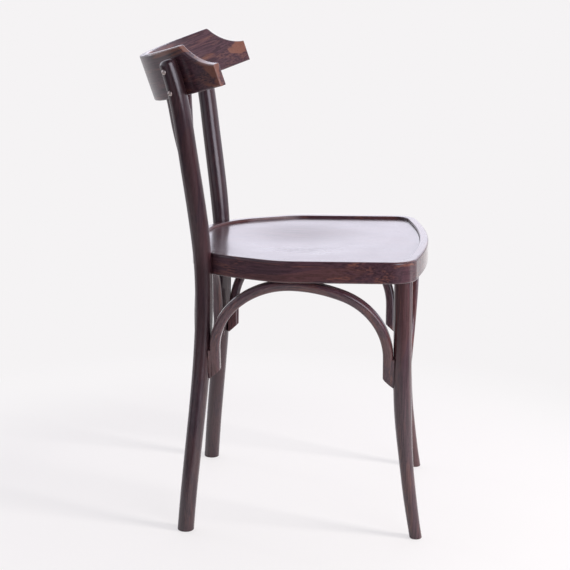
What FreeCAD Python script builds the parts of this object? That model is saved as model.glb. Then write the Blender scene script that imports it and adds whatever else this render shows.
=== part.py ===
import FreeCAD, Part
import math
import os
from FreeCAD import Placement, Rotation, Vector

# Bentwood bistro chair in millimetres. +Z is up, the chair faces -Y, +X is the sitter's left.
# The origin is on the floor, in the middle of the chair's width and depth.
# Everything is drawn with a level seat, and then tipped back by the slope of the seat.
seat_slope = 1.3

# Seat ring and seat panel
seat_height = 458.0
seat_half_width = 202.0
seat_front_point_y = -265.5
seat_front_corner_y = -226.5
seat_side_bend_y = -15.5
seat_shoulder_half_width = 137.0
seat_shoulder_y = 132.5
seat_rear_point_y = 141.5
front_bow_radius = 711.0
front_corner_radius = 40.0
side_bend_radius = 118.0
shoulder_radius = 143.0
rear_bow_radius = 500.0
ring_height = 35.0
ring_width = 36.0
rim_width = 14.0
ring_top_rounding = 3.5
ring_foot_rounding = 2.5
rim_inner_rounding = 1.5
panel_thickness = 9.0
panel_recess = 4.5
panel_gap = 0.3
dish_depth = 9.0
dish_half_width = 150.0
dish_half_depth = 136.0
dish_centre_y = -38.5

# Crest rail, a curved band that leans back
crest_rise = 230.6
crest_setback = 61.0
crest_lean = 18.5
crest_height = 77.0
crest_thickness = 13.0
crest_radius = 208.0
crest_bend_angle = 50.9
crest_straight_end = 79.0
crest_end_height = 35.0
crest_scoop_radius = 92.0
crest_scoop_overrun = 15.0
crest_peak_rounding = 6.0
crest_edge_rounding = 2.5

# Rear legs, which run on up as the posts of the back
rear_leg_side_aim = 23.6
rear_leg_rear_aim = -0.8
rear_foot_splay = 45.5
rear_foot_setback = 29.0
rear_foot_diameter = 27.0
rear_leg_diameter = 29.5
post_diameter = 31.0
post_swell_rise = 60.0
post_low_diameter = 30.0
post_top_diameter = 28.5
post_top_rounding = 8.0
post_bend_splay = 18.0
post_bend_setback = 20.0
post_bend_rise = 170.0
post_low_reach = 178.5
post_low_height = 8.0
post_top_reach = 180.0
post_top_height = 63.0
post_joint_flat = 2.5
post_ring_flat = 4.0
post_lean_gap = 1.0
ring_joint_flat = 0.8
foot_rounding = 2.0

# Front legs
front_leg_inset = 34.0
front_leg_setback = 24.0
front_foot_splay = 5.0
front_foot_sweep = 24.5
front_sweep_height = 290.0
front_foot_diameter = 20.0
front_ankle_diameter = 22.0
front_ankle_height = 90.0
front_leg_diameter = 29.3
front_calf_height = 235.0
leg_tenon_diameter = 18.0
leg_tenon_length = 17.0
leg_sections = 24

# Back rods
rod_diameter = 15.0
rod_end_diameter = 11.5
rod_taper_length = 60.0
rod_foot_x = 28.0
rod_waist_x = 34.0
rod_waist_rise = 95.0
rod_waist_setback = 11.0
rod_bend_x = 62.0
rod_bend_rise = 170.0
rod_bend_setback = 22.0
rod_top_angle = 33.8
rod_tenon_diameter = 7.0
rod_tenon_length = 14.0
rod_sections = 20

# Arches under the seat
arch_thickness = 16.5
arch_width = 18.0
arch_corner_rounding = 5.5
arch_rise = 117.5
arch_shoulder_radius = 110.0
arch_end_half_length = 25.0
arch_tip_bevel = 15.0
arch_pad_thickness = 2.5
arch_pad_width = 16.0
side_arch_rear_lift = 4.5
side_arch_crown_setback = 12.0
arch_leg_flat = 2.5
arch_crown_flat = 1.2
arch_seat_margin = 4.0
front_arch_set_forward = 5.0
rear_arch_set_back = 2.0
front_arch_crown_inset = 5.5

# Fasteners and fits
joint_clearance = 0.15
bend_clearance = 0.3
screw_shank_diameter = 4.0
dome_head_diameter = 9.0
dome_head_height = 3.0
dome_head_seat_depth = 0.8
dome_slot_width = 1.2
dome_slot_depth = 1.0
dome_screw_bite = 9.0
dome_screw_spacing = 34.0
dome_screws_height = 29.0
dome_seat_margin = 0.3
sunk_head_diameter = 8.0
sunk_head_height = 2.6
arch_screw_bite = 13.5
arch_screw_offset = 8.0
bolt_diameter = 6.0
bolt_post_depth = 18.0
bolt_tail = 3.0
washer_diameter = 18.0
washer_thickness = 1.6
washer_seat_depth = 1.0
washer_seat_margin = 0.5
hole_end_room = 1.0
nut_across_flats = 10.0
nut_height = 5.0

# Values that follow from the ones above
ring_bottom_z = seat_height - ring_height
panel_top_z = seat_height - panel_recess
ledge_z = panel_top_z - panel_thickness
bolt_z = (ring_bottom_z + ledge_z) / 2
arch_crown_z = ring_bottom_z - arch_thickness / 2 + arch_crown_flat
arch_contact_z = arch_crown_z - arch_rise - arch_end_half_length
far = 900.0
up = Vector(0, 0, 1)
down = Vector(0, 0, -1)
across = Vector(1, 0, 0)
origin = Vector(0, 0, 0)


def rounded_outline(corners, z):
    """A closed wire through corners (x, y, radius). Each radius is limited by the two sides beside it."""
    count = len(corners)
    points = [Vector(x, y, z) for x, y, radius in corners]
    to_next = [points[(i + 1) % count].sub(points[i]) for i in range(count)]
    half_angles = [to_next[i].getAngle(to_next[i - 1] * -1) / 2 for i in range(count)]
    wanted = [corners[i][2] / math.tan(half_angles[i]) for i in range(count)]
    shares = [0.98 * to_next[i].Length / (wanted[i] + wanted[(i + 1) % count]) for i in range(count)]
    starts = []
    middles = []
    ends = []
    for i in range(count):
        setback = wanted[i] * min(1.0, shares[i - 1], shares[i])
        radius = setback * math.tan(half_angles[i])
        ahead = Vector(to_next[i]).normalize()
        back = Vector(to_next[i - 1]).normalize() * -1
        inward = ahead.add(back).normalize()
        starts.append(points[i].add(back * setback))
        middles.append(points[i].add(inward * (radius / math.sin(half_angles[i]) - radius)))
        ends.append(points[i].add(ahead * setback))
    edges = []
    for i in range(count):
        edges.append(Part.Arc(starts[i], middles[i], ends[i]).toShape())
        edges.append(Part.LineSegment(ends[i], starts[(i + 1) % count]).toShape())
    return Part.Wire(edges)


def closed_wire(points):
    return Part.makePolygon(points + [points[0]])


def prism(wire, travel):
    return Part.Face(wire).extrude(travel)


def cylinder(diameter, start, direction, length):
    return Part.makeCylinder(diameter / 2, length, start, direction)


def mirrored(shape):
    """The same piece on the sitter's right."""
    return shape.mirror(origin, across)


def both_sides(shapes):
    return shapes + [mirrored(shape) for shape in shapes]


def cut_all(shape, cutters):
    for cutter in cutters:
        shape = shape.cut(cutter)
    return shape


def space_above(z):
    return Part.makeBox(2 * far, 2 * far, far, Vector(-far, -far, z))


def space_below(z):
    return Part.makeBox(2 * far, 2 * far, far, Vector(-far, -far, z - far))


def floor_z(y):
    """Height of the floor, which slopes while the seat is drawn level."""
    return y * math.tan(math.radians(seat_slope))


def space_under_floor():
    space = space_below(0.0)
    space.Placement = Placement(origin, Rotation(across, seat_slope)).multiply(space.Placement)
    return space


def lies_on_floor(edge):
    return all(abs(point.z - floor_z(point.y)) < 0.01 for point in edge.discretize(9))


def level_direction(start, end):
    return Vector(end.x - start.x, end.y - start.y, 0).normalize()


def smooth_path(points):
    curve = Part.BSplineCurve()
    curve.interpolate(points)
    return curve


def point_at_height(curve, z):
    """The point of a rising curve at height z, found by halving."""
    low = curve.FirstParameter
    high = curve.LastParameter
    for step in range(50):
        middle = (low + high) / 2
        if curve.value(middle).z < z:
            low = middle
        else:
            high = middle
    return curve.value(low)


def blended(z, height_diameters):
    """The diameter at height z, eased between the (height, diameter) pairs around it."""
    if z <= height_diameters[0][0]:
        return height_diameters[0][1]
    for (low_z, low), (high_z, high) in zip(height_diameters, height_diameters[1:]):
        if z <= high_z:
            share = (z - low_z) / (high_z - low_z)
            return low + (high - low) * (1 - math.cos(math.pi * share)) / 2
    return height_diameters[-1][1]


def round_bar(curve, height_diameters, sections):
    """A round bar along a rising curve, with its diameter set by height."""
    rings = []
    for i in range(sections + 1):
        u = curve.FirstParameter + (curve.LastParameter - curve.FirstParameter) * i / sections
        centre = curve.value(u)
        ring = Part.Wire(Part.Circle(origin, up, blended(centre.z, height_diameters) / 2).toShape())
        ring.Placement = Placement(centre, Rotation(up, curve.tangent(u)[0]))
        rings.append(ring)
    return Part.makeLoft(rings, True, False)


def round_edges(shape, radius, wanted):
    """Rounds the edges that wanted picks."""
    return shape.makeFillet(radius, [edge for edge in shape.Edges if wanted(edge)])


def lies_level_at(edge, z):
    return abs(edge.BoundBox.ZMin - z) < 0.01 and abs(edge.BoundBox.ZMax - z) < 0.01


def edge_middle(edge):
    return edge.valueAt((edge.FirstParameter + edge.LastParameter) / 2)


# The seat's outline, drawn at the ring's underside
left_corners = [
    (seat_half_width, seat_front_corner_y, front_corner_radius),
    (seat_half_width, seat_side_bend_y, side_bend_radius),
    (seat_shoulder_half_width, seat_shoulder_y, shoulder_radius),
]
right_corners = [(-x, y, radius) for x, y, radius in reversed(left_corners)]
front_corner = (0.0, seat_front_point_y, front_bow_radius)
rear_corner = (0.0, seat_rear_point_y, rear_bow_radius)
outline = rounded_outline([front_corner] + left_corners + [rear_corner] + right_corners, ring_bottom_z)
bore_outline = outline.makeOffset2D(-ring_width)
rim_outline = outline.makeOffset2D(-rim_width)
panel_outline = outline.makeOffset2D(-rim_width - panel_gap)
ring_front_y = outline.BoundBox.YMin
ring_rear_y = outline.BoundBox.YMax


def outline_point(aim):
    """The point of the seat's outline nearest to aim."""
    return Part.Vertex(aim).distToShape(outline)[1][0][1]


def lies_on(edge, drawn, z):
    """Whether an edge is level at height z and follows a drawn outline."""
    middle = edge_middle(edge)
    below = Part.Vertex(Vector(middle.x, middle.y, ring_bottom_z))
    return lies_level_at(edge, z) and below.distToShape(drawn)[0] < 0.05


# The flat joint between the left rear leg and the ring
post_aim = Vector(seat_shoulder_half_width + rear_leg_side_aim, seat_shoulder_y + rear_leg_rear_aim, ring_bottom_z)
ring_contact = outline_point(post_aim)
joint_outward = level_direction(ring_contact, post_aim)
joint_face = ring_contact.sub(joint_outward * ring_joint_flat)
joint_along = up.cross(joint_outward)
post_at_seat = joint_face.add(joint_outward * (rear_leg_diameter / 2 - post_ring_flat))
post_at_seat.z = seat_height - ring_height / 2
bolt_point = Vector(joint_face.x, joint_face.y, bolt_z)
washer_point = bolt_point.sub(joint_outward * (ring_width - ring_joint_flat - washer_seat_depth))

# The left front leg stands under the middle of the ring's width
front_leg_aim = Vector(seat_half_width - front_leg_inset, seat_front_corner_y + front_leg_setback, ring_bottom_z)
corner_contact = outline_point(front_leg_aim)
front_leg_top = corner_contact.add(level_direction(corner_contact, front_leg_aim) * (ring_width / 2))

# The left back rod stands on the middle of the rim
rod_seat = Vector(rod_foot_x, ring_rear_y - rim_width / 2, seat_height)

# The crest's own frame: x across, y back, z up its slope, with its origin at the rear bottom edge
crest_frame = Placement(
    Vector(0, ring_rear_y + crest_setback, seat_height + crest_rise),
    Rotation(across, -crest_lean),
)
crest_up = crest_frame.Rotation.multVec(up)
crest_bend = math.radians(crest_bend_angle)
bend_reach = crest_radius * crest_bend
tip_reach = bend_reach + crest_straight_end
scoop_drop = math.sqrt(crest_scoop_radius ** 2 - crest_scoop_overrun ** 2)
crest_scoop_z = crest_end_height + scoop_drop


def crest_point(reach, outside, height):
    """A point in the crest's own frame, reach along its outer face from the middle."""
    angle = min(reach / crest_radius, crest_bend)
    rest = max(reach - bend_reach, 0.0)
    x = (crest_radius + outside) * math.sin(angle) + rest * math.cos(angle)
    y = (crest_radius + outside) * math.cos(angle) - crest_radius - rest * math.sin(angle)
    return Vector(x, y, height)


def crest_place(reach, outside, height):
    return crest_frame.multVec(crest_point(reach, outside, height))


# Centre line of the left rear leg, from below the floor to the top of the post
post_offset = post_top_diameter / 2 - post_joint_flat
post_low = crest_place(post_low_reach, post_offset + post_lean_gap, post_low_height)
post_top = crest_place(post_top_reach, post_offset, post_top_height)
post_bend = Vector(post_at_seat.x + post_bend_splay, post_at_seat.y + post_bend_setback, seat_height + post_bend_rise)
rear_foot_y = post_at_seat.y + rear_foot_setback
rear_foot = Vector(post_at_seat.x + rear_foot_splay, rear_foot_y, floor_z(rear_foot_y))
below_rear_foot = rear_foot.add(rear_foot.sub(post_at_seat) * 0.02)
rear_leg_curve = smooth_path([below_rear_foot, rear_foot, post_at_seat, post_bend, post_low, post_top])
rear_leg_diameters = [
    (rear_foot.z, rear_foot_diameter),
    (ring_bottom_z, rear_leg_diameter),
    (seat_height + post_swell_rise, post_diameter),
    (post_low.z, post_low_diameter),
    (post_top.z, post_top_diameter),
]


def front_leg_point(z):
    """Centre of the left front leg: upright above, swept forward below."""
    sweep = front_foot_sweep * max(0.0, 1 - z / front_sweep_height) ** 2
    return Vector(front_leg_top.x + front_foot_splay * (1 - z / ring_bottom_z), front_leg_top.y - sweep, z)


front_leg_curve = smooth_path([front_leg_point(ring_bottom_z * i / 10) for i in range(-1, 12)])
front_foot_z = floor_z(front_leg_top.y - front_foot_sweep)
front_leg_diameters = [
    (front_foot_z, front_foot_diameter),
    (front_ankle_height, front_ankle_diameter),
    (front_calf_height, front_leg_diameter),
]

# Centre line of the left back rod, which runs a little past both its seats
rod_socket = crest_point(crest_radius * math.radians(rod_top_angle), -crest_thickness / 2, 0)
rod_top = crest_frame.multVec(rod_socket)
rod_waist = Vector(rod_waist_x, rod_seat.y + rod_waist_setback, seat_height + rod_waist_rise)
rod_bend = Vector(rod_bend_x, rod_seat.y + rod_bend_setback, seat_height + rod_bend_rise)
past_rod_top = rod_top.add(rod_top.sub(rod_bend) * 0.15)
past_rod_seat = rod_seat.add(rod_seat.sub(rod_waist) * 0.1)
rod_curve = smooth_path([past_rod_seat, rod_seat, rod_waist, rod_bend, rod_top, past_rod_top])
rod_diameters = [
    (seat_height, rod_end_diameter),
    (seat_height + rod_taper_length, rod_diameter),
    (rod_top.z - rod_taper_length, rod_diameter),
    (rod_top.z, rod_end_diameter),
]


class Arch:
    """A bent arch. Its own frame has x along it, y across it and z up in its plane."""

    def __init__(self, first_face, second_face, crown, screw_height):
        along = second_face.sub(first_face)
        self.half_span = along.Length / 2
        self.half_width = self.half_span - arch_pad_thickness
        along.normalize()
        middle = first_face.add(second_face) * 0.5
        rising = crown.sub(middle)
        self.crown_shift = rising.dot(along)
        rising = rising.sub(along * self.crown_shift)
        self.height = rising.Length
        rising.normalize()
        self.frame = Placement(middle, Rotation(along, rising.cross(along), rising, "ZXY"))
        self.spring = self.height - arch_rise
        self.screw_height = screw_height

    def placed(self, shape):
        shape.Placement = self.frame.multiply(shape.Placement)
        return shape

    def path(self):
        """The edges of the centre line, from its first tip over the crown to its second tip."""
        return self.half_path(-1)[::-1] + self.half_path(1)

    def half_path(self, side):
        """Half the crown's arc, the shoulder's arc and the straight end on one side of the crown."""
        half = self.half_width - arch_thickness / 2 - side * self.crown_shift
        shoulder = min(arch_shoulder_radius, 0.97 * arch_rise, 0.97 * half)
        crown = ((half - shoulder) ** 2 + arch_rise ** 2 - shoulder ** 2) / (2 * (arch_rise - shoulder))
        turn = math.acos((half - shoulder) / (crown - shoulder))

        def placed(reach, rise):
            return Vector(self.crown_shift + side * reach, 0, self.spring + rise)

        def on_shoulder(angle):
            return placed(half - shoulder + shoulder * math.cos(angle), shoulder * math.sin(angle))

        def on_crown(angle):
            return placed(crown * math.cos(angle), arch_rise - crown + crown * math.sin(angle))

        tip = placed(half, -self.spring - arch_end_half_length)
        first, middle, last = [on_shoulder(turn * share) for share in (0.0, 0.5, 1.0)]
        shapes = [
            Part.Arc(placed(0, arch_rise), on_crown((turn + math.pi / 2) / 2), last),
            Part.Arc(last, middle, first),
            Part.LineSegment(first, tip),
        ]
        return [shape.toShape() for shape in shapes]

    def bar(self):
        outer = -self.half_width
        inner = outer + arch_thickness
        low = -arch_end_half_length
        half = arch_width / 2
        corners = [(outer, -half), (inner, -half), (inner, half), (outer, half)]
        section = rounded_outline([(x, y, arch_corner_rounding) for x, y in corners], low)
        bar = Part.Wire(self.path()).makePipeShell([section], True, False)
        wedge = closed_wire([Vector(inner, -half, low + arch_tip_bevel), Vector(inner, -half, low - 1),
                             Vector(outer, -half, low - 1), Vector(outer, -half, low)])
        bevel = prism(wedge, Vector(0, arch_width, 0))
        pad = Part.makeBox(arch_pad_thickness + arch_corner_rounding, arch_pad_width, self.spring - low,
                           Vector(-self.half_span, -arch_pad_width / 2, low))
        bar = bar.fuse([pad, mirrored(pad)]).cut(bevel).cut(mirrored(bevel))
        return self.placed(bar).cut(space_above(ring_bottom_z))

    def leg_seats(self):
        """Shapes that cut the flats on the legs for the arch's ends, and room for its bend above them."""
        half = arch_width / 2 + arch_seat_margin
        outer = -self.half_span
        low = -arch_end_half_length - arch_seat_margin / 2
        top = self.spring + bend_clearance
        block = Part.makeBox(arch_thickness, 2 * half, top - low, Vector(outer, -half, low))
        near = -self.half_width - bend_clearance
        inner = -self.half_width + arch_thickness
        corners = [(near, -half), (inner, -half), (inner, half), (near, half)]
        section = closed_wire([Vector(x, y, self.spring) for x, y in corners])
        bend = Part.Wire(self.path()[1:-1]).makePipeShell([section], True, False)
        return [self.placed(shape) for shape in both_sides([block]) + [bend]]

    def screw_axes(self):
        """Start, direction and whole length of the two end screws and the crown screw."""
        inner = self.half_width - arch_thickness
        end_length = arch_thickness + arch_pad_thickness + arch_screw_bite
        below_crown = self.height - arch_thickness / 2
        local_axes = [
            (Vector(inner, 0, self.screw_height), across, end_length),
            (Vector(-inner, 0, self.screw_height), across * -1, end_length),
            (Vector(self.crown_shift, 0, below_crown), up, arch_thickness + arch_screw_bite),
        ]
        turn = self.frame.Rotation
        return [(self.frame.multVec(start), turn.multVec(way), length) for start, way, length in local_axes]


def beside(leg_curve, leg_diameters, way, forward, lift=0.0):
    """The middle of an arch's end face on a leg, way along the arch and forward of the leg's centre."""
    centre = point_at_height(leg_curve, arch_contact_z + lift)
    reach = blended(arch_contact_z + lift, leg_diameters) / 2 - arch_leg_flat
    return centre.add(way * reach).add(Vector(0, -forward, 0))


def flip(point):
    return Vector(-point.x, point.y, point.z)


rear_leg_level = point_at_height(rear_leg_curve, arch_contact_z)
front_leg_level = point_at_height(front_leg_curve, arch_contact_z)
toward_front = front_leg_level.sub(rear_leg_level).normalize()
side_crown_y = (front_leg_level.y + rear_leg_level.y) / 2 + side_arch_crown_setback
rear_inner_face = beside(rear_leg_curve, rear_leg_diameters, across * -1, -rear_arch_set_back)
front_inner_face = beside(front_leg_curve, front_leg_diameters, across * -1, front_arch_set_forward)
arches = {
    "side_arch_left": Arch(
        beside(rear_leg_curve, rear_leg_diameters, toward_front, 0, side_arch_rear_lift),
        beside(front_leg_curve, front_leg_diameters, toward_front * -1, 0),
        Vector(seat_half_width - ring_width / 2, side_crown_y, arch_crown_z),
        arch_screw_offset,
    ),
    "rear_arch": Arch(
        flip(rear_inner_face),
        rear_inner_face,
        Vector(0, ring_rear_y - ring_width / 2, arch_crown_z),
        -arch_screw_offset,
    ),
    "front_arch": Arch(
        flip(front_inner_face),
        front_inner_face,
        Vector(0, ring_front_y + ring_width / 2 + front_arch_crown_inset, arch_crown_z),
        -arch_screw_offset,
    ),
}


def sunk_screw(start, direction, length, spare=0.0):
    """A flat-headed wood screw, made larger all round by spare."""
    shank = cylinder(screw_shank_diameter + 2 * spare, start, direction, length + spare)
    head = Part.makeCone(sunk_head_diameter / 2 + spare, screw_shank_diameter / 2 + spare,
                         sunk_head_height, start, direction)
    return shank.fuse(head)


def sunk_hole(start, direction, length):
    """The hole for such a screw, which opens through the curved wood in front of its head."""
    mouth = cylinder(sunk_head_diameter + 2 * joint_clearance, start, direction * -1, sunk_head_height)
    return sunk_screw(start, direction, length, joint_clearance).fuse(mouth)


def at_arch_screws(make):
    """For each arch, what make gives at its two end screws and at its crown screw."""
    groups = [[make(*axis) for axis in arch.screw_axes()] for arch in arches.values()]
    return groups + [[mirrored(shape) for shape in groups[0]]]


arch_screw_holes = sum(at_arch_screws(sunk_hole), [])


def make_seat_ring():
    ring = prism(outline, up * ring_height).cut(prism(bore_outline, up * ring_height))
    rim_space = prism(rim_outline, up * ring_height)
    rim_space.translate(up * (ledge_z - ring_bottom_z))
    ring = ring.cut(rim_space)
    ring = round_edges(ring, ring_top_rounding, lambda edge: lies_on(edge, outline, seat_height))
    ring = round_edges(ring, ring_foot_rounding, lambda edge: lies_on(edge, outline, ring_bottom_z))
    ring = round_edges(ring, rim_inner_rounding, lambda edge: lies_on(edge, rim_outline, seat_height))
    facet_corners = [joint_face.add(joint_along * far), joint_face.sub(joint_along * far)]
    facet_corners += [corner.add(joint_outward * far) for corner in reversed(facet_corners)]
    facet = prism(closed_wire(facet_corners), up * ring_height)
    spare = 2 * joint_clearance
    cutters = [
        facet,
        cylinder(leg_tenon_diameter + spare, front_leg_top, up, leg_tenon_length + hole_end_room),
        cylinder(rod_tenon_diameter + spare, rod_seat, down, rod_tenon_length + hole_end_room),
        cylinder(bolt_diameter + spare, bolt_point, joint_outward * -1, 2 * ring_width),
        cylinder(washer_diameter + 2 * washer_seat_margin, washer_point, joint_outward * -1, ring_width),
    ]
    return cut_all(ring, both_sides(cutters) + arch_screw_holes)


def dish_height(x, y):
    """How far the dished seat lies below its edge, with a smooth rim."""
    reach = math.hypot(x / dish_half_width, (y - dish_centre_y) / dish_half_depth)
    return -dish_depth * (1 + math.cos(math.pi * min(reach, 1.0))) / 2


def make_seat_panel():
    steps = 24
    box = panel_outline.BoundBox
    box.enlarge(5.0)
    rows = []
    for i in range(steps + 1):
        x = box.XMin + box.XLength * i / steps
        places = [box.YMin + box.YLength * j / steps for j in range(steps + 1)]
        rows.append([Vector(x, y, panel_top_z + dish_height(x, y)) for y in places])
    surface = Part.BSplineSurface()
    surface.interpolate(rows)
    sheet = surface.toShape().extrude(down * (panel_thickness - joint_clearance))
    return sheet.common(prism(panel_outline, up * far))


def crest_band(outside, inside, low, high):
    """A band that follows the crest, between two distances from its outer face and two heights."""
    half_line = [(bend_reach, outside), (tip_reach, outside), (tip_reach, inside), (bend_reach, inside)]
    left = [crest_point(reach, distance, low) for reach, distance in half_line]
    right = [flip(point) for point in left]
    edges = [Part.Arc(right[0], crest_point(0, outside, low), left[0]).toShape()]
    edges += [Part.LineSegment(a, b).toShape() for a, b in zip(left, left[1:])]
    edges += [Part.Arc(left[3], crest_point(0, inside, low), right[3]).toShape()]
    edges += [Part.LineSegment(a, b).toShape() for a, b in zip(right[::-1], right[-2::-1])]
    return prism(Part.Wire(edges), up * (high - low))


def is_crest_peak(edge):
    return lies_level_at(edge, crest_height) and edge.Length < crest_thickness + 1.0


def is_crest_rim(edge):
    """Edges of the crest's faces, apart from those where its bend runs into its straight ends."""
    box = edge.BoundBox
    upright = box.XLength < 0.01 and box.YLength < 0.01
    at_tip = abs(edge_middle(edge).x) > crest_point(bend_reach + 1.0, 0, 0).x
    return edge.Length > crest_thickness + 1.0 and (at_tip or not upright)


def make_crest_rail():
    band = crest_band(0.0, -crest_thickness, 0.0, crest_height)
    outward = Vector(math.sin(crest_bend), math.cos(crest_bend), 0)
    scoop_reach = tip_reach + crest_scoop_overrun
    scoop_start = crest_point(scoop_reach, -2 * crest_thickness, crest_scoop_z)
    scoop = cylinder(2 * crest_scoop_radius, scoop_start, outward, 4 * crest_thickness)
    band = cut_all(band, both_sides([scoop]))
    band = round_edges(band, crest_peak_rounding, is_crest_peak)
    band = round_edges(band, crest_edge_rounding, is_crest_rim)
    socket = cylinder(rod_tenon_diameter + 2 * joint_clearance, rod_socket, up, rod_tenon_length + hole_end_room)
    band = cut_all(band, both_sides([socket]))
    band.Placement = crest_frame
    return cut_all(band, both_sides(dome_screw_shapes(joint_clearance)))


def make_back_rod():
    rod = round_bar(rod_curve, rod_diameters, rod_sections)
    above_crest_foot = space_above(0.0)
    above_crest_foot.Placement = crest_frame
    rod = rod.cut(space_below(seat_height)).cut(above_crest_foot)
    low_tenon = cylinder(rod_tenon_diameter, rod_seat, down, rod_tenon_length)
    high_tenon = cylinder(rod_tenon_diameter, rod_top, crest_up, rod_tenon_length)
    return rod.fuse([low_tenon, high_tenon])


rear_leg_bar = round_bar(rear_leg_curve, rear_leg_diameters, leg_sections).cut(space_under_floor())


def bar_surface(bar, start, direction):
    """Where a line that leaves start runs out of a bar."""
    line = Part.makeLine(start, start.add(direction * far)).common(bar)
    return max((vertex.Point for vertex in line.Vertexes), key=start.distanceToPoint)


def dome_screw_axes():
    """Seat and direction of the two screws through the left post into the crest."""
    axes = []
    for offset in (-dome_screw_spacing / 2, dome_screw_spacing / 2):
        height = dome_screws_height + offset
        share = (height - post_low_height) / (post_top_height - post_low_height)
        reach = post_low_reach + share * (post_top_reach - post_low_reach)
        face = crest_place(reach, 0.0, height)
        outward = crest_place(reach, 1.0, height).sub(face).normalize()
        seat = bar_surface(rear_leg_bar, face, outward).sub(outward * dome_head_seat_depth)
        axes.append((seat, outward * -1, seat.distanceToPoint(face) + dome_screw_bite))
    return axes


def dome_screw_shapes(spare):
    """Shanks of the left post's screws, or their holes when spare is the clearance."""
    diameter = screw_shank_diameter + 2 * spare
    return [cylinder(diameter, seat, way, length + spare) for seat, way, length in dome_screw_axes()]


def make_dome_screw(seat, direction, length):
    outward = direction * -1
    ball_radius = (dome_head_diameter ** 2 / 4 + dome_head_height ** 2) / (2 * dome_head_height)
    ball = Part.makeSphere(ball_radius, seat.add(outward * (dome_head_height - ball_radius)))
    head = cylinder(dome_head_diameter, seat, outward, dome_head_height).common(ball)
    slot = Part.makeBox(dome_slot_width, 2 * dome_head_diameter, dome_head_height,
                        Vector(-dome_slot_width / 2, -dome_head_diameter, 0))
    floor = seat.add(outward * (dome_head_height - dome_slot_depth))
    slot.Placement = Placement(floor, Rotation(up, outward))
    shank = cylinder(screw_shank_diameter, seat, direction, length)
    return head.cut(slot).fuse(shank)


def make_rear_leg():
    leg = round_edges(rear_leg_bar, foot_rounding, lies_on_floor)
    leg = round_edges(leg, post_top_rounding, lambda e: e.Closed and e.BoundBox.ZMin > post_top.z - 20)
    notch_corners = [joint_face.add(joint_along * far), joint_face.sub(joint_along * far)]
    notch_corners += [corner.sub(joint_outward * rear_leg_diameter) for corner in reversed(notch_corners)]
    notch = prism(closed_wire(notch_corners), up * ring_height)
    crest_space = crest_band(joint_clearance, -crest_thickness, -joint_clearance, crest_height)
    crest_space.Placement = crest_frame
    bolt_hole = cylinder(bolt_diameter + 2 * joint_clearance, bolt_point, joint_outward, bolt_post_depth + hole_end_room)
    cutters = [notch, crest_space, bolt_hole] + dome_screw_shapes(joint_clearance)
    for seat, direction, length in dome_screw_axes():
        cutters.append(cylinder(dome_head_diameter + 2 * dome_seat_margin, seat, direction * -1, rear_leg_diameter))
    cutters += arches["side_arch_left"].leg_seats() + arches["rear_arch"].leg_seats()
    return cut_all(leg, cutters + arch_screw_holes)


def make_front_leg():
    leg = round_bar(front_leg_curve, front_leg_diameters, leg_sections)
    leg = leg.cut(space_under_floor()).cut(space_above(ring_bottom_z))
    leg = round_edges(leg, foot_rounding, lies_on_floor)
    leg = leg.fuse(cylinder(leg_tenon_diameter, front_leg_top, up, leg_tenon_length))
    seats = arches["side_arch_left"].leg_seats() + arches["front_arch"].leg_seats()
    return cut_all(leg, seats + arch_screw_holes)


def make_arch(name):
    return cut_all(arches[name].bar(), arch_screw_holes)


def make_leg_bolt():
    grip = bolt_point.distanceToPoint(washer_point) + washer_thickness + nut_height + bolt_tail
    return cylinder(bolt_diameter, bolt_point.add(joint_outward * bolt_post_depth), joint_outward * -1,
                    bolt_post_depth + grip)


def bolt_passage(start, length):
    return cylinder(bolt_diameter + 2 * joint_clearance, start, joint_outward * -1, length)


def make_washer():
    disc = cylinder(washer_diameter, washer_point, joint_outward * -1, washer_thickness)
    return disc.cut(bolt_passage(washer_point, washer_thickness))


def make_nut():
    start = washer_point.sub(joint_outward * washer_thickness)
    corner_radius = nut_across_flats / math.sqrt(3)
    corners = []
    for i in range(6):
        angle = math.radians(60 * i)
        corners.append(start.add(joint_along * (corner_radius * math.cos(angle)))
                       .add(up * (corner_radius * math.sin(angle))))
    nut = prism(closed_wire(corners), joint_outward * -nut_height)
    return nut.cut(bolt_passage(start, nut_height))


def save(name, drawn):
    """Saves a piece, tipped from where it is drawn to where it stands on the level floor."""
    shape = drawn.copy()
    shape.Placement = Placement(origin, Rotation(across, -seat_slope)).multiply(drawn.Placement)
    shape.exportStep("parts/" + name + ".step")
    solids = shape.Solids
    print(name, "solids", len(solids), "valid", shape.isValid(), "volume", round(shape.Volume / 1000, 2), "cm3")


os.makedirs("parts", exist_ok=True)
save("seat_ring", make_seat_ring())
save("seat_panel", make_seat_panel())
save("crest_rail", make_crest_rail())
save("rear_arch", make_arch("rear_arch"))
save("front_arch", make_arch("front_arch"))
paired_pieces = {
    "rear_leg": make_rear_leg(),
    "front_leg": make_front_leg(),
    "back_rod": make_back_rod(),
    "side_arch": make_arch("side_arch_left"),
}
for name, left_piece in paired_pieces.items():
    save(name + "_left", left_piece)
    save(name + "_right", mirrored(left_piece))
screw_groups = at_arch_screws(sunk_screw)
save("arch_end_screws", Part.makeCompound([screw for group in screw_groups for screw in group[:2]]))
save("arch_crown_screws", Part.makeCompound([group[2] for group in screw_groups]))
save("crest_screws", Part.makeCompound(both_sides([make_dome_screw(*axis) for axis in dome_screw_axes()])))
save("rear_leg_bolts", Part.makeCompound(both_sides([make_leg_bolt()])))
save("bolt_washers", Part.makeCompound(both_sides([make_washer()])))
save("bolt_nuts", Part.makeCompound(both_sides([make_nut()])))
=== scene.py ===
import math
from collections import namedtuple

import bpy
from mathutils import Matrix, Vector

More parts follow.
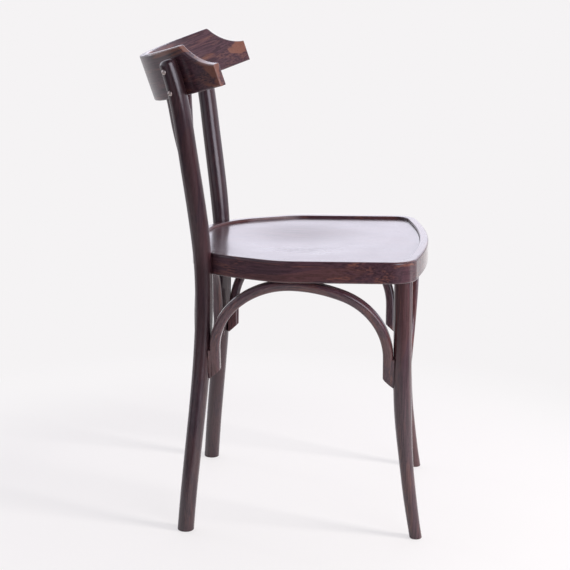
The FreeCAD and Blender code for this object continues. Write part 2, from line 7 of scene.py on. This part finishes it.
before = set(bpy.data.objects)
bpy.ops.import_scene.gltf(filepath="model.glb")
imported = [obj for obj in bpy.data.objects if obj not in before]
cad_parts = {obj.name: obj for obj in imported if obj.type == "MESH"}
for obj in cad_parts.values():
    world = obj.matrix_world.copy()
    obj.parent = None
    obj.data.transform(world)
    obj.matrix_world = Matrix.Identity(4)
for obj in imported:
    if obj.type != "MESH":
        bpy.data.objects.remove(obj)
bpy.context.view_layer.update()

# The wood's marks, in metres across and along the grain
Mark = namedtuple("Mark", "width length")
FIBRE = Mark(0.0020, 0.055)
PORE = Mark(0.00045, 0.0035)
BAND = Mark(0.009, 0.22)
FIGURE = Mark(0.045, 0.16)

# Up through the seat's ply, the marks are drawn at this share of their fineness
PLY_DEPTH_SHARE = 0.3

# The middling radius of the bent pieces, at which their marks have their true length
TYPICAL_BEND = 0.15

# Moves the marks on, so that no two pieces are cut from the same wood
CUT_STEP = (1.37, 0.71, 2.13)

# Stain colours, from the deepest pores to the worn edges
STAIN_DEEP = (0.0140, 0.0060, 0.0095, 1)
STAIN_DARK = (0.0300, 0.0115, 0.0165, 1)
STAIN_MIDDLE = (0.0740, 0.0315, 0.0410, 1)
STAIN_RED = (0.2200, 0.0820, 0.0450, 1)
STAIN_WORN = (0.1700, 0.0800, 0.0560, 1)

# Noise runs from 0 to 1. A mark starts to show at the first value and shows fully at the second
FIBRES_SHOW = (0.34, 0.62)
RED_BANDS_SHOW = (0.46, 0.66)
RED_FIBRES_SHOW = (0.42, 0.62)
RED_PATCHES_SHOW = (0.53, 0.57)
PORES_SHOW = (0.60, 0.70)
WEAR_SHOWS = (0.42, 0.62)
SMEARS_SHOW = (0.30, 0.70)
TARNISH_SHOWS = (0.45, 0.70)
SCRATCHES_SHOW = (0.3, 0.7)

# Cloudy marks that don't follow the grain, by how fine they are
WEAR_FINENESS = 38.0
SMEAR_FINENESS = 24.0
WAVE_FINENESS = 55.0
TARNISH_FINENESS = 260.0
SCRATCH_FINENESS = 1400.0

# How strongly the pores are darkened, and the edges worn through
PORE_DARKENING = 0.75
EDGE_WEAR = 0.35

# Edges catch the light as if they were rounded by this much, in metres
EDGE_ROUNDING = 0.0016
EDGE_SAMPLES = 6

# How alike the true and the rounded surface's directions are where an edge starts, and at its middle
EDGE_SHOWS = (0.985, 0.88)

# The stained wood itself, and the lacquer over it
WOOD_ROUGHNESS = 0.38
WOOD_IOR = 1.5
WOOD_SPECULAR = 0.25
LACQUER_IOR = 1.52
LACQUER_SMEAR = 0.07
LACQUER_WAVE_DEPTH = 0.0008
GRAIN_RELIEF = 0.10
GRAIN_DEPTH = 0.0003
FIBRE_RELIEF_SHARE = 0.6

# The screws and bolts
SCREW_BRONZE = (0.52, 0.46, 0.43, 1)
SCREW_TARNISH = (0.24, 0.18, 0.16, 1)
SCREW_ROUGHNESS = 0.24
ZINC_PLATE = (0.62, 0.62, 0.64, 1)
ZINC_TARNISH = (0.36, 0.36, 0.36, 1)
ZINC_ROUGHNESS = 0.25
SCRATCH_DULLING = 0.15
SCRATCH_RELIEF = 0.15
SCRATCH_DEPTH = 0.0001

# Where each bent piece turns: the middle of its bend, and the turn that lays its bend flat
Bend = namedtuple("Bend", "middle turn")
SEAT_RING_BEND = Bend((0.0, -0.060, 0.440), (math.radians(-1.3), 0.0, 0.0))
CREST_BEND = Bend((0.0, 0.015, 0.690), (math.radians(-19.8), 0.0, 0.0))
QUARTER_TURN = math.radians(90.0)
ARCH_BENDS = {
    "side_arch_left": Bend((0.160, -0.040, 0.285), (0.0, QUARTER_TURN, 0.0)),
    "side_arch_right": Bend((-0.160, -0.040, 0.285), (0.0, QUARTER_TURN, 0.0)),
    "rear_arch": Bend((0.0, 0.120, 0.290), (QUARTER_TURN, 0.0, 0.0)),
    "front_arch": Bend((0.0, -0.210, 0.290), (QUARTER_TURN, 0.0, 0.0)),
}

# How red the streaks of each straight piece are, and how far its stain has soaked in
Soak = namedtuple("Soak", "redness depth")
STRAIGHT_PIECES = {
    "rear_leg_left": Soak(redness=0.12, depth=0.65),
    "rear_leg_right": Soak(redness=0.3, depth=0.62),
    "front_leg_left": Soak(redness=0.3, depth=0.2),
    "front_leg_right": Soak(redness=0.4, depth=0.25),
    "back_rod_left": Soak(redness=0.2, depth=0.4),
    "back_rod_right": Soak(redness=0.2, depth=0.4),
}

# Which cut of the wood each piece has
SEAT_RING_CUT = 1
SEAT_PANEL_CUT = 2
CREST_CUT = 6.1
FIRST_ARCH_CUT = 4
FIRST_STRAIGHT_CUT = 8

# A mix node's sockets for colours come after those for numbers and for vectors
MIX_FIRST_COLOUR = 6
MIX_SECOND_COLOUR = 7
MIX_COLOUR_RESULT = 2


class Finish:
    """One surface finish, put together node by node."""

    def __init__(self, name):
        self.material = bpy.data.materials.new(name)
        self.material.use_nodes = True
        self.tree = self.material.node_tree
        self.tree.nodes.clear()
        self.place = self.node("ShaderNodeTexCoord").outputs["Object"]

    def node(self, kind, settings=None, **sockets):
        """Adds a node. Each socket is fed by another node's output or set to a value."""
        made = self.tree.nodes.new(kind)
        for key, value in (settings or {}).items():
            setattr(made, key, value)
        for key, value in sockets.items():
            self.feed(made.inputs[key.replace("_", " ")], value)
        return made

    def feed(self, socket, value):
        """Links a socket to another node's output, or sets it to a value."""
        if isinstance(value, bpy.types.NodeSocket):
            self.tree.links.new(value, socket)
        else:
            socket.default_value = value

    def maths(self, kind, first, second=0.0):
        """Works out one number from one or two."""
        made = self.tree.nodes.new("ShaderNodeMath")
        made.operation = kind
        self.feed(made.inputs[0], first)
        self.feed(made.inputs[1], second)
        return made.outputs[0]

    def times(self, first, second):
        """One number times another."""
        return self.maths("MULTIPLY", first, second)

    def rest_of(self, share):
        """What a share leaves of the whole."""
        return self.maths("SUBTRACT", 1.0, share)

    def vector(self, kind, first, second=None, scale=None):
        """Works out one vector, or one number from vectors."""
        made = self.tree.nodes.new("ShaderNodeVectorMath")
        made.operation = kind
        self.feed(made.inputs[0], first)
        if second is not None:
            self.feed(made.inputs[1], second)
        if scale is not None:
            self.feed(made.inputs["Scale"], scale)
        return made

    def between(self, share, first, second):
        """Blends from the first colour to the second as the share goes from 0 to 1."""
        made = self.tree.nodes.new("ShaderNodeMix")
        made.data_type = "RGBA"
        self.feed(made.inputs["Factor"], share)
        self.feed(made.inputs[MIX_FIRST_COLOUR], first)
        self.feed(made.inputs[MIX_SECOND_COLOUR], second)
        return made.outputs[MIX_COLOUR_RESULT]

    def stepped(self, value, span, low=0.0, high=1.0):
        """Goes smoothly from low to high as the value goes from the span's first end to its second."""
        made = self.node("ShaderNodeMapRange", {"interpolation_type": "SMOOTHSTEP"})
        for socket, number in zip(made.inputs, (value, *span, low, high)):
            self.feed(socket, number)
        return made.outputs[0]

    def noise(self, place, across=None, **sockets):
        """Cloudy noise at a place, and at a fourth measure across it where one is given."""
        settings = {"noise_dimensions": "3D" if across is None else "4D"}
        if across is not None:
            sockets["W"] = across
        return self.node("ShaderNodeTexNoise", settings, Vector=place, **sockets).outputs[0]

    def relief(self, height, strength, distance, normal=None):
        """Makes the surface look raised where the height is more."""
        made = self.node("ShaderNodeBump", Strength=strength, Distance=distance, Height=height)
        if normal is not None:
            self.feed(made.inputs["Normal"], normal)
        return made.outputs[0]

    def flat_reach(self, parts):
        """The level part of a place, and how far it is from the middle."""
        flat = self.node("ShaderNodeCombineXYZ", X=parts.outputs["X"], Y=parts.outputs["Y"]).outputs[0]
        return flat, self.vector("LENGTH", flat).outputs["Value"]

    def done(self, shader):
        """Hands over the material, with the shader as its surface."""
        end = self.tree.nodes.new("ShaderNodeOutputMaterial")
        self.tree.links.new(shader.outputs[0], end.inputs["Surface"])
        return self.material


def along_straight(finish, mark, offset):
    """Places for marks that run up a leg or a rod."""
    moved = finish.vector("ADD", finish.place, offset).outputs[0]
    fineness = (1 / mark.width, 1 / mark.width, 1 / mark.length)
    return finish.vector("MULTIPLY", moved, fineness).outputs[0], None


def along_depth(finish, mark, offset):
    """Places for marks that run from the front of the seat to its rear."""
    moved = finish.vector("ADD", finish.place, offset).outputs[0]
    fineness = (1 / mark.width, 1 / mark.length, PLY_DEPTH_SHARE / mark.width)
    return finish.vector("MULTIPLY", moved, fineness).outputs[0], None


def along_bend(bend):
    """Places for marks that follow a bent piece round the middle of its bend."""

    def places(finish, mark, offset):
        local = finish.node(
            "ShaderNodeMapping", {"vector_type": "TEXTURE"},
            Vector=finish.place, Location=bend.middle, Rotation=bend.turn,
        ).outputs[0]
        parts = finish.node("ShaderNodeSeparateXYZ", Vector=local)
        flat, reach = finish.flat_reach(parts)
        heading = finish.vector("NORMALIZE", flat).outputs[0]
        round_way = finish.vector("SCALE", heading, scale=TYPICAL_BEND / mark.length).outputs[0]
        outward = finish.node("ShaderNodeCombineXYZ", Z=finish.times(reach, 1 / mark.width)).outputs[0]
        place = finish.vector("ADD", round_way, outward).outputs[0]
        place = finish.vector("ADD", place, offset).outputs[0]
        return place, finish.times(parts.outputs["Z"], 1 / mark.width)

    return places


def worn_edges(finish, rounded):
    """Close to 1 on sharp edges, where the stain has rubbed thin."""
    true = finish.node("ShaderNodeNewGeometry").outputs["Normal"]
    likeness = finish.vector("DOT_PRODUCT", rounded, true).outputs["Value"]
    patches = finish.noise(finish.place, Scale=WEAR_FINENESS, Detail=3.0, Roughness=0.6)
    edge = finish.stepped(likeness, EDGE_SHOWS)
    return finish.times(edge, finish.stepped(patches, WEAR_SHOWS))


def stained_wood(name, places, cut, gloss=0.10, redness=0.5, patchiness=0.15, depth=0.0, waviness=0.06):
    """Beech stained very dark brown, under a glossy lacquer.

    gloss is the lacquer's least roughness, redness and patchiness the strength of the red streaks and
    patches, depth how far the stain has soaked in, and waviness the lacquer's unevenness.
    """
    finish = Finish(name)
    offset = tuple(cut * step for step in CUT_STEP)
    rounded = finish.node("ShaderNodeBevel", {"samples": EDGE_SAMPLES}, Radius=EDGE_ROUNDING).outputs[0]

    def marks(mark, **sockets):
        place, across = places(finish, mark, offset)
        return finish.noise(place, across, Scale=1.0, **sockets)

    fibres = marks(FIBRE, Detail=4.0, Roughness=0.62, Distortion=0.25)
    pores = marks(PORE, Detail=1.0, Roughness=0.5)
    bands = marks(BAND, Detail=2.0, Roughness=0.55, Distortion=0.6)
    figure = marks(FIGURE, Detail=3.0, Roughness=0.45, Distortion=0.9)

    colour = finish.between(finish.stepped(fibres, FIBRES_SHOW), STAIN_DARK, STAIN_MIDDLE)
    streaks = finish.times(finish.stepped(bands, RED_BANDS_SHOW), finish.stepped(fibres, RED_FIBRES_SHOW))
    patches = finish.times(finish.stepped(figure, RED_PATCHES_SHOW), patchiness)
    red = finish.maths("MAXIMUM", finish.times(streaks, redness), patches)
    colour = finish.between(red, colour, STAIN_RED)
    pore_marks = finish.stepped(pores, PORES_SHOW)
    colour = finish.between(finish.times(pore_marks, PORE_DARKENING), colour, STAIN_DEEP)
    colour = finish.between(depth, colour, STAIN_DEEP)
    worn = finish.times(worn_edges(finish, rounded), EDGE_WEAR)
    colour = finish.between(worn, colour, STAIN_WORN)

    raised = finish.maths("SUBTRACT", finish.times(fibres, FIBRE_RELIEF_SHARE), pore_marks)
    waves = finish.noise(finish.place, Scale=WAVE_FINENESS, Detail=1.0, Roughness=0.4)
    smears = finish.noise(finish.place, Scale=SMEAR_FINENESS, Detail=4.0, Roughness=0.65)
    shader = finish.node(
        "ShaderNodeBsdfPrincipled",
        Base_Color=colour,
        Roughness=WOOD_ROUGHNESS,
        IOR=WOOD_IOR,
        Specular_IOR_Level=WOOD_SPECULAR,
        Normal=finish.relief(raised, GRAIN_RELIEF, GRAIN_DEPTH, rounded),
        Coat_Weight=1.0,
        Coat_IOR=LACQUER_IOR,
        Coat_Roughness=finish.stepped(smears, SMEARS_SHOW, gloss, gloss + LACQUER_SMEAR),
        Coat_Normal=finish.relief(waves, waviness, LACQUER_WAVE_DEPTH, rounded),
    )
    return finish.done(shader)


def screw_metal(name, bright, tarnish, roughness):
    """Turned screw metal with fine scratches and some tarnish."""
    finish = Finish(name)
    scratches = finish.noise(finish.place, Scale=SCRATCH_FINENESS, Detail=3.0, Roughness=0.6)
    spots = finish.noise(finish.place, Scale=TARNISH_FINENESS, Detail=4.0, Roughness=0.6)
    shader = finish.node(
        "ShaderNodeBsdfPrincipled",
        Base_Color=finish.between(finish.stepped(spots, TARNISH_SHOWS), bright, tarnish),
        Metallic=1.0,
        Roughness=finish.stepped(scratches, SCRATCHES_SHOW, roughness, roughness + SCRATCH_DULLING),
        Normal=finish.relief(scratches, SCRATCH_RELIEF, SCRATCH_DEPTH),
    )
    return finish.done(shader)


def put_on(piece_name, material):
    """Gives a CAD piece its finish."""
    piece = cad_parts[piece_name]
    piece.data.materials.clear()
    piece.data.materials.append(material)


def finish_seat():
    """A red-brown ring, and a smoother panel whose grain runs from front to rear."""
    ring = stained_wood("seat_ring_beech", along_bend(SEAT_RING_BEND), SEAT_RING_CUT, redness=0.6)
    put_on("seat_ring", ring)
    panel = stained_wood(
        "seat_panel_ply", along_depth, SEAT_PANEL_CUT,
        gloss=0.15, redness=0.15, patchiness=0.1, waviness=0.01,
    )
    put_on("seat_panel", panel)


def finish_crest():
    """The crest rail is the most figured piece, with red patches."""
    crest = stained_wood(
        "crest_rail_beech", along_bend(CREST_BEND), CREST_CUT,
        redness=0.45, patchiness=0.68,
    )
    put_on("crest_rail", crest)


def finish_arches():
    """The arches' grain follows their bend."""
    for cut, (arch, bend) in enumerate(ARCH_BENDS.items(), FIRST_ARCH_CUT):
        put_on(arch, stained_wood(arch + "_beech", along_bend(bend), cut))


def finish_straight_pieces():
    """Legs and rods, the rear legs with the darkest stain."""
    for cut, (piece, soak) in enumerate(STRAIGHT_PIECES.items(), FIRST_STRAIGHT_CUT):
        wood = stained_wood(piece + "_beech", along_straight, cut, redness=soak.redness, depth=soak.depth)
        put_on(piece, wood)


def finish_fasteners():
    """Bronzed wood screws, and zinc-plated bolts inside the ring."""
    bronzed_screw = screw_metal("bronzed_screw", SCREW_BRONZE, SCREW_TARNISH, SCREW_ROUGHNESS)
    for screws in ("crest_screws", "arch_end_screws", "arch_crown_screws"):
        put_on(screws, bronzed_screw)
    plated_bolt = screw_metal("plated_bolt", ZINC_PLATE, ZINC_TARNISH, ZINC_ROUGHNESS)
    for bolt_part in ("rear_leg_bolts", "bolt_washers", "bolt_nuts"):
        put_on(bolt_part, plated_bolt)


# The floor's sheet and colours, and how far it reaches towards the camera, in metres
FLOOR_SIZE = 80.0
FLOOR_REACH = 2.5
FLOOR_PALE = (0.87, 0.85, 0.81, 1)
# Painted shade: the dim colour the floor is given away from the chair, seen in the lacquer's reflections
# and in bounced light
FLOOR_PAINTED_SHADE = (0.10, 0.09, 0.10, 1)
PLAIN_BACKDROP = (0.913, 0.896, 0.905, 1)

# Spans over which the floor changes, in metres from the middle of the chair. Away is in every
# direction, before is towards the camera, beyond is the other way, and aside is to left and right.
DIM_AWAY = (0.95, 1.65)
DIM_BEFORE = (0.2, -0.4)
DIM_ASIDE = (0.5, 1.4)
DIM_ASIDE_BEYOND = (0.2, 1.0)
PLAIN_AWAY = (0.45, 0.90)
STRENGTH_AWAY = (0.45, 1.0)
MIRRORED_BEYOND = (0.3, 2.5)

# How much of the floor's pale colour is painted dim far aside, as painted shade
ASIDE_LOSS = 0.65

# The share of the plain backdrop that the camera sees near the chair, and the backdrop's strength there
PLAIN_SHARE_NEAR = 0.60
PLAIN_STRENGTH_NEAR = 1.09

# What the plain backdrop gains where the lacquer mirrors it
MIRROR_GAIN = 0.15


def pale_floor():
    """A pale floor that keeps the chair's shadow near it and fades to the plain backdrop away from it.
    Towards the camera and far aside its colour is painted dim, painted shade that the lacquer mirrors.
    """
    finish = Finish("pale_floor")
    parts = finish.node("ShaderNodeSeparateXYZ", Vector=finish.place)
    beyond = parts.outputs["X"]
    reach = finish.flat_reach(parts)[1]

    # Painted shade: the floor's colour goes dim away from the chair towards the camera, and far aside
    painted_shade_before = finish.times(finish.stepped(reach, DIM_AWAY), finish.stepped(beyond, DIM_BEFORE))
    far_aside = finish.stepped(finish.maths("ABSOLUTE", parts.outputs["Y"]), DIM_ASIDE)
    painted_shade_aside = finish.times(far_aside, finish.stepped(beyond, DIM_ASIDE_BEYOND, 0.0, ASIDE_LOSS))
    kept_aside = finish.rest_of(painted_shade_aside)
    kept = finish.times(finish.rest_of(painted_shade_before), kept_aside)
    lit = finish.node("ShaderNodeBsdfDiffuse", Color=finish.between(kept, FLOOR_PAINTED_SHADE, FLOOR_PALE))

    rays = finish.node("ShaderNodeLightPath").outputs
    seen = finish.times(rays["Is Camera Ray"], finish.stepped(reach, PLAIN_AWAY, PLAIN_SHARE_NEAR, 1.0))
    mirror_way = finish.times(finish.stepped(beyond, MIRRORED_BEYOND), kept_aside)
    mirrored = finish.times(rays["Is Glossy Ray"], mirror_way)
    plain_strength = finish.stepped(reach, STRENGTH_AWAY, PLAIN_STRENGTH_NEAR, 1.0)
    strength = finish.maths("ADD", plain_strength, finish.times(mirrored, MIRROR_GAIN))
    plain = finish.node("ShaderNodeEmission", Color=PLAIN_BACKDROP, Strength=strength)

    mix = finish.node("ShaderNodeMixShader", Fac=finish.maths("MAXIMUM", seen, mirrored))
    finish.tree.links.new(lit.outputs[0], mix.inputs[1])
    finish.tree.links.new(plain.outputs[0], mix.inputs[2])
    return finish.done(mix)


def lay_floor():
    """One level sheet under the feet, cut off on the side that the chair is looked at from."""
    bpy.ops.object.select_all(action="DESELECT")
    bpy.ops.mesh.primitive_plane_add(size=FLOOR_SIZE, location=(0.0, 0.0, 0.0))
    floor = bpy.context.object
    floor.name = "studio_floor"
    for corner in floor.data.vertices:
        corner.co.x = max(corner.co.x, -FLOOR_REACH)
    floor.data.materials.append(pale_floor())


# Tones of the studio's walls, whose brightness is added up. Each goes from one brightness to another
# as the direction looked in comes closer to its own: likeness is 1 in its own direction, and 0 at
# right angles to it.
Tone = namedtuple("Tone", "direction from_likeness to_likeness from_brightness to_brightness")
WALL_TONES = (
    Tone((-0.85, 0.0, 0.53), -0.15, 0.72, 0.95, 0.03),
    Tone((0.90, -0.04, 0.43), 0.84, 1.0, 0.0, 1.0),
    Tone((-0.78, -0.55, 0.30), 0.88, 1.0, 0.0, 4.5),
    Tone((-0.45, 0.88, 0.05), 0.45, 1.0, 0.0, 0.5),
)
WALL_COLOUR = (0.90, 0.885, 1.0, 1)


def wall_tone(tree, way, tone):
    """The brightness that one tone adds in the direction looked in."""
    likeness = tree.nodes.new("ShaderNodeVectorMath")
    likeness.operation = "DOT_PRODUCT"
    likeness.inputs[1].default_value = Vector(tone.direction).normalized()
    tree.links.new(way, likeness.inputs[0])
    spread = tree.nodes.new("ShaderNodeMapRange")
    spread.interpolation_type = "SMOOTHSTEP"
    for socket, number in zip(spread.inputs[1:5], tone[1:]):
        socket.default_value = number
    tree.links.new(likeness.outputs["Value"], spread.inputs[0])
    return spread.outputs[0]


def studio_walls():
    """A white studio all round, dim on the side that the chair is looked at from."""
    world = bpy.data.worlds.new("studio")
    bpy.context.scene.world = world
    world.use_nodes = True
    tree = world.node_tree
    tree.nodes.clear()
    way = tree.nodes.new("ShaderNodeTexCoord").outputs["Generated"]
    total = wall_tone(tree, way, WALL_TONES[0])
    for tone in WALL_TONES[1:]:
        both = tree.nodes.new("ShaderNodeMath")
        tree.links.new(total, both.inputs[0])
        tree.links.new(wall_tone(tree, way, tone), both.inputs[1])
        total = both.outputs[0]
    wall = tree.nodes.new("ShaderNodeBackground")
    wall.inputs["Color"].default_value = WALL_COLOUR
    tree.links.new(total, wall.inputs["Strength"])
    seen = tree.nodes.new("ShaderNodeBackground")
    seen.inputs["Color"].default_value = PLAIN_BACKDROP
    path = tree.nodes.new("ShaderNodeLightPath")
    mix = tree.nodes.new("ShaderNodeMixShader")
    tree.links.new(path.outputs["Is Camera Ray"], mix.inputs[0])
    tree.links.new(wall.outputs[0], mix.inputs[1])
    tree.links.new(seen.outputs[0], mix.inputs[2])
    end = tree.nodes.new("ShaderNodeOutputWorld")
    tree.links.new(mix.outputs[0], end.inputs["Surface"])


def soft_lamp(name, place, aim, width, height, power, colour):
    """A soft lamp that the camera doesn't see."""
    light = bpy.data.lights.new(name, "AREA")
    light.shape = "RECTANGLE"
    light.size = width
    light.size_y = height
    light.energy = power
    light.color = colour
    lamp = bpy.data.objects.new(name, light)
    bpy.context.scene.collection.objects.link(lamp)
    lamp.location = place
    lamp.rotation_euler = (Vector(aim) - Vector(place)).to_track_quat("-Z", "Y").to_euler()
    lamp.visible_camera = False
    return lamp


def light_studio():
    """A tall strip at the chair's rear, and a lamp at its front that casts the shadows to the rear."""
    studio_walls()
    soft_lamp(
        "lamp_behind_left", place=(1.4, 2.6, 1.2), aim=(0.0, 0.1, 0.5),
        width=0.35, height=1.7, power=6.0, colour=(0.94, 0.94, 1.0),
    )
    front_lamp = soft_lamp(
        "lamp_before_chair", place=(-0.8, -2.6, 1.5), aim=(0.0, 0.0, 0.2),
        width=0.8, height=0.8, power=78.0, colour=(1.0, 0.97, 0.97),
    )
    front_lamp.visible_glossy = False


# The photograph's viewpoint: a long lens, higher than the seat, tilted down and rolled by about one degree
CAMERA_PLACE = Vector((-2.7753, -0.1895, 1.0209))
CAMERA_AIM = Vector((-0.1029, -0.0101, 0.3977))
CAMERA_ROLL = math.radians(1.138)
LENS_LENGTH = 106.44
SENSOR_WIDTH = 36.0
NEAREST_SEEN = 0.05


def set_camera():
    """The camera of the photograph's view."""
    lens = bpy.data.cameras.new("camera")
    lens.lens = LENS_LENGTH
    lens.sensor_width = SENSOR_WIDTH
    lens.clip_start = NEAREST_SEEN
    camera = bpy.data.objects.new("camera", lens)
    bpy.context.scene.collection.objects.link(camera)
    level_view = (CAMERA_AIM - CAMERA_PLACE).to_track_quat("-Z", "Y").to_matrix()
    turned = level_view @ Matrix.Rotation(CAMERA_ROLL, 3, "Z")
    camera.matrix_world = Matrix.Translation(CAMERA_PLACE) @ turned.to_4x4()
    bpy.context.scene.camera = camera


finish_seat()
finish_crest()
finish_arches()
finish_straight_pieces()
finish_fasteners()
lay_floor()
light_studio()
set_camera()
bpy.context.scene.view_settings.view_transform = "Standard"
